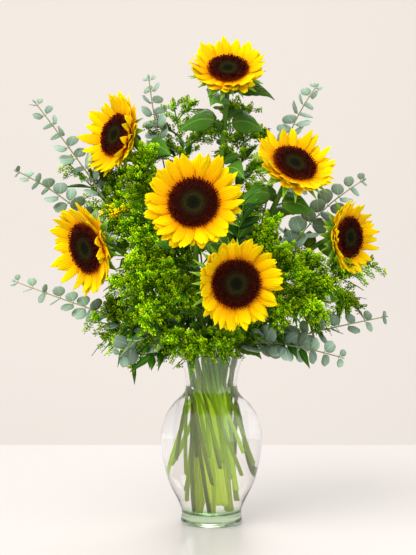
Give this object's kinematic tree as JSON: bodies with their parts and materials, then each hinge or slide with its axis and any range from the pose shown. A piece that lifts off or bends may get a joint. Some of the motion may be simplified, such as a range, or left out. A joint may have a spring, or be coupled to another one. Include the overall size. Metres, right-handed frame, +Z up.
{
  "type": "sunflowers in a vase",
  "caption": "Sunflowers with eucalyptus, goldenrod and leafy stems standing in water in a tall round-bellied glass vase.",
  "frame": {"origin": "centre of the vase's foot, on its flat underside", "axes": "+Z up along the vase's axis, -Y towards the front, where the flowers face, +X to the right seen from the front"},
  "size_m": [0.4809, 0.3269, 0.6269],
  "materials": {
    "glass": "clear blown glass with a faint green tint",
    "water": "clear still water",
    "petal": "soft yellow petals, orange at the base",
    "disc": "dark maroon florets, nearly black in the middle",
    "stem": "hairy green stems, calyx and leaves",
    "eucalyptus": "powdery sage green round leaves",
    "goldenrod": "yellow-green buds",
    "leafy": "dark green leaves"
  },
  "bodies": {
    "root": {"eucalyptus_a": "eucalyptus", "eucalyptus_b": "eucalyptus", "eucalyptus_back": "eucalyptus", "eucalyptus_back_left": "eucalyptus", "eucalyptus_back_right": "eucalyptus", "eucalyptus_c": "eucalyptus", "eucalyptus_d": "eucalyptus", "eucalyptus_e": "eucalyptus", "eucalyptus_f": "eucalyptus", "eucalyptus_g": "eucalyptus", "eucalyptus_h": "eucalyptus", "eucalyptus_i": "eucalyptus", "goldenrod_a": "goldenrod", "goldenrod_b": "goldenrod", "goldenrod_back_left": "goldenrod", "goldenrod_back_right": "goldenrod", "goldenrod_c": "goldenrod", "goldenrod_d": "goldenrod", "goldenrod_e": "goldenrod", "goldenrod_f": "goldenrod", "goldenrod_g": "goldenrod", "goldenrod_h": "goldenrod", "goldenrod_i": "goldenrod", "leafy_back": "leafy", "leafy_left": "leafy", "leafy_middle": "leafy", "leafy_right": "leafy", "sunflower_center_disc": "disc", "sunflower_center_petals": "petal", "sunflower_center_stem": "stem", "sunflower_left_disc": "disc", "sunflower_left_petals": "petal", "sunflower_left_stem": "stem", "sunflower_low_center_disc": "disc", "sunflower_low_center_petals": "petal", "sunflower_low_center_stem": "stem", "sunflower_right_disc": "disc", "sunflower_right_petals": "petal", "sunflower_right_stem": "stem", "sunflower_top_disc": "disc", "sunflower_top_petals": "petal", "sunflower_top_stem": "stem", "sunflower_upper_left_disc": "disc", "sunflower_upper_left_petals": "petal", "sunflower_upper_left_stem": "stem", "sunflower_upper_right_disc": "disc", "sunflower_upper_right_petals": "petal", "sunflower_upper_right_stem": "stem", "vase": "glass", "water": "water"}
  },
  "joints": []
}
